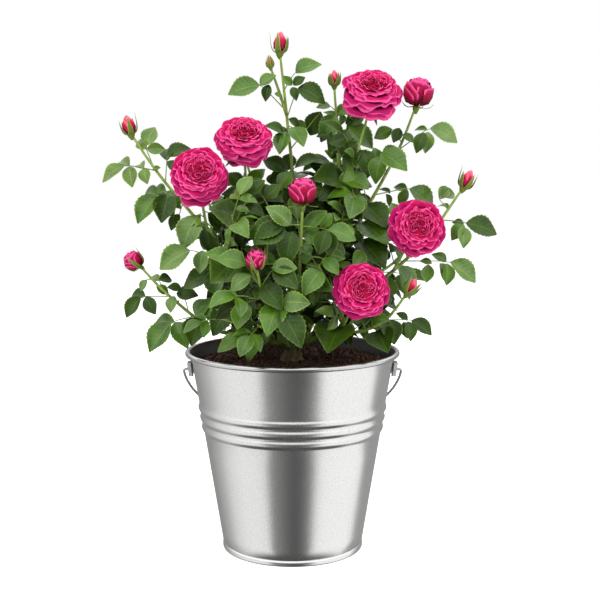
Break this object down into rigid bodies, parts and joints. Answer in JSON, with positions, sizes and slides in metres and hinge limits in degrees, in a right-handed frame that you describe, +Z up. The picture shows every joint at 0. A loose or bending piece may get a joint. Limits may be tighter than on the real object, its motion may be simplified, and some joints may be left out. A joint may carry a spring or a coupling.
{
  "type": "potted rose bush",
  "caption": "Flowering rose bush with double blooms, buds and toothed leaves, planted in a ribbed steel bucket with a bail handle.",
  "frame": {"origin": "centre of the bucket's flat underside, on the ground", "axes": "+Z up along the bucket's axis, -Y towards the bush's front, +X to the right as seen from the front; the bail hangs on the +Y side"},
  "size_m": [0.433, 0.3435, 0.5642],
  "materials": {
    "bucket_steel": "bright galvanised sheet with a fine vertical grain",
    "bail_wire": "drawn galvanised wire",
    "compost": "loose dark compost",
    "trunk_bark": "rough grey-brown bark turning green",
    "cane_bark": "smooth green rose cane",
    "foliage": "satin green leaf",
    "blossom": "velvety deep pink petal"
  },
  "bodies": {
    "potted_plant": {"bucket": "bucket_steel", "soil": "compost", "ear_right": "bucket_steel", "ear_left": "bucket_steel", "trunk": "trunk_bark", "bough_left_high": "cane_bark", "bough_left_low": "cane_bark", "bough_left_centre": "cane_bark", "bough_centre_high": "cane_bark", "bough_right_centre": "cane_bark", "bough_right_high": "cane_bark", "bough_right_mid": "cane_bark", "bough_right_low": "cane_bark", "bough_front": "cane_bark", "bough_front_low": "cane_bark", "bough_back_left": "cane_bark", "bough_back_centre": "cane_bark", "bough_back_right": "cane_bark", "bough_back_low": "cane_bark", "foliage_left_high": "foliage", "foliage_left_low": "foliage", "foliage_left_centre": "foliage", "foliage_centre_high": "foliage", "foliage_right_centre": "foliage", "foliage_right_high": "foliage", "foliage_right_mid": "foliage", "foliage_right_low": "foliage", "foliage_front": "foliage", "foliage_front_low": "foliage", "foliage_back_left": "foliage", "foliage_back_centre": "foliage", "foliage_back_right": "foliage", "foliage_back_low": "foliage"},
    "bail": {"bail": "bail_wire"}
  },
  "joints": [
    {"name": "bail_swing", "type": "hinge", "parent": "potted_plant", "child": "bail", "pos_m": [0, 0, 0.199], "axis": [1, 0, 0], "range_deg": [0, 50]}
  ]
}
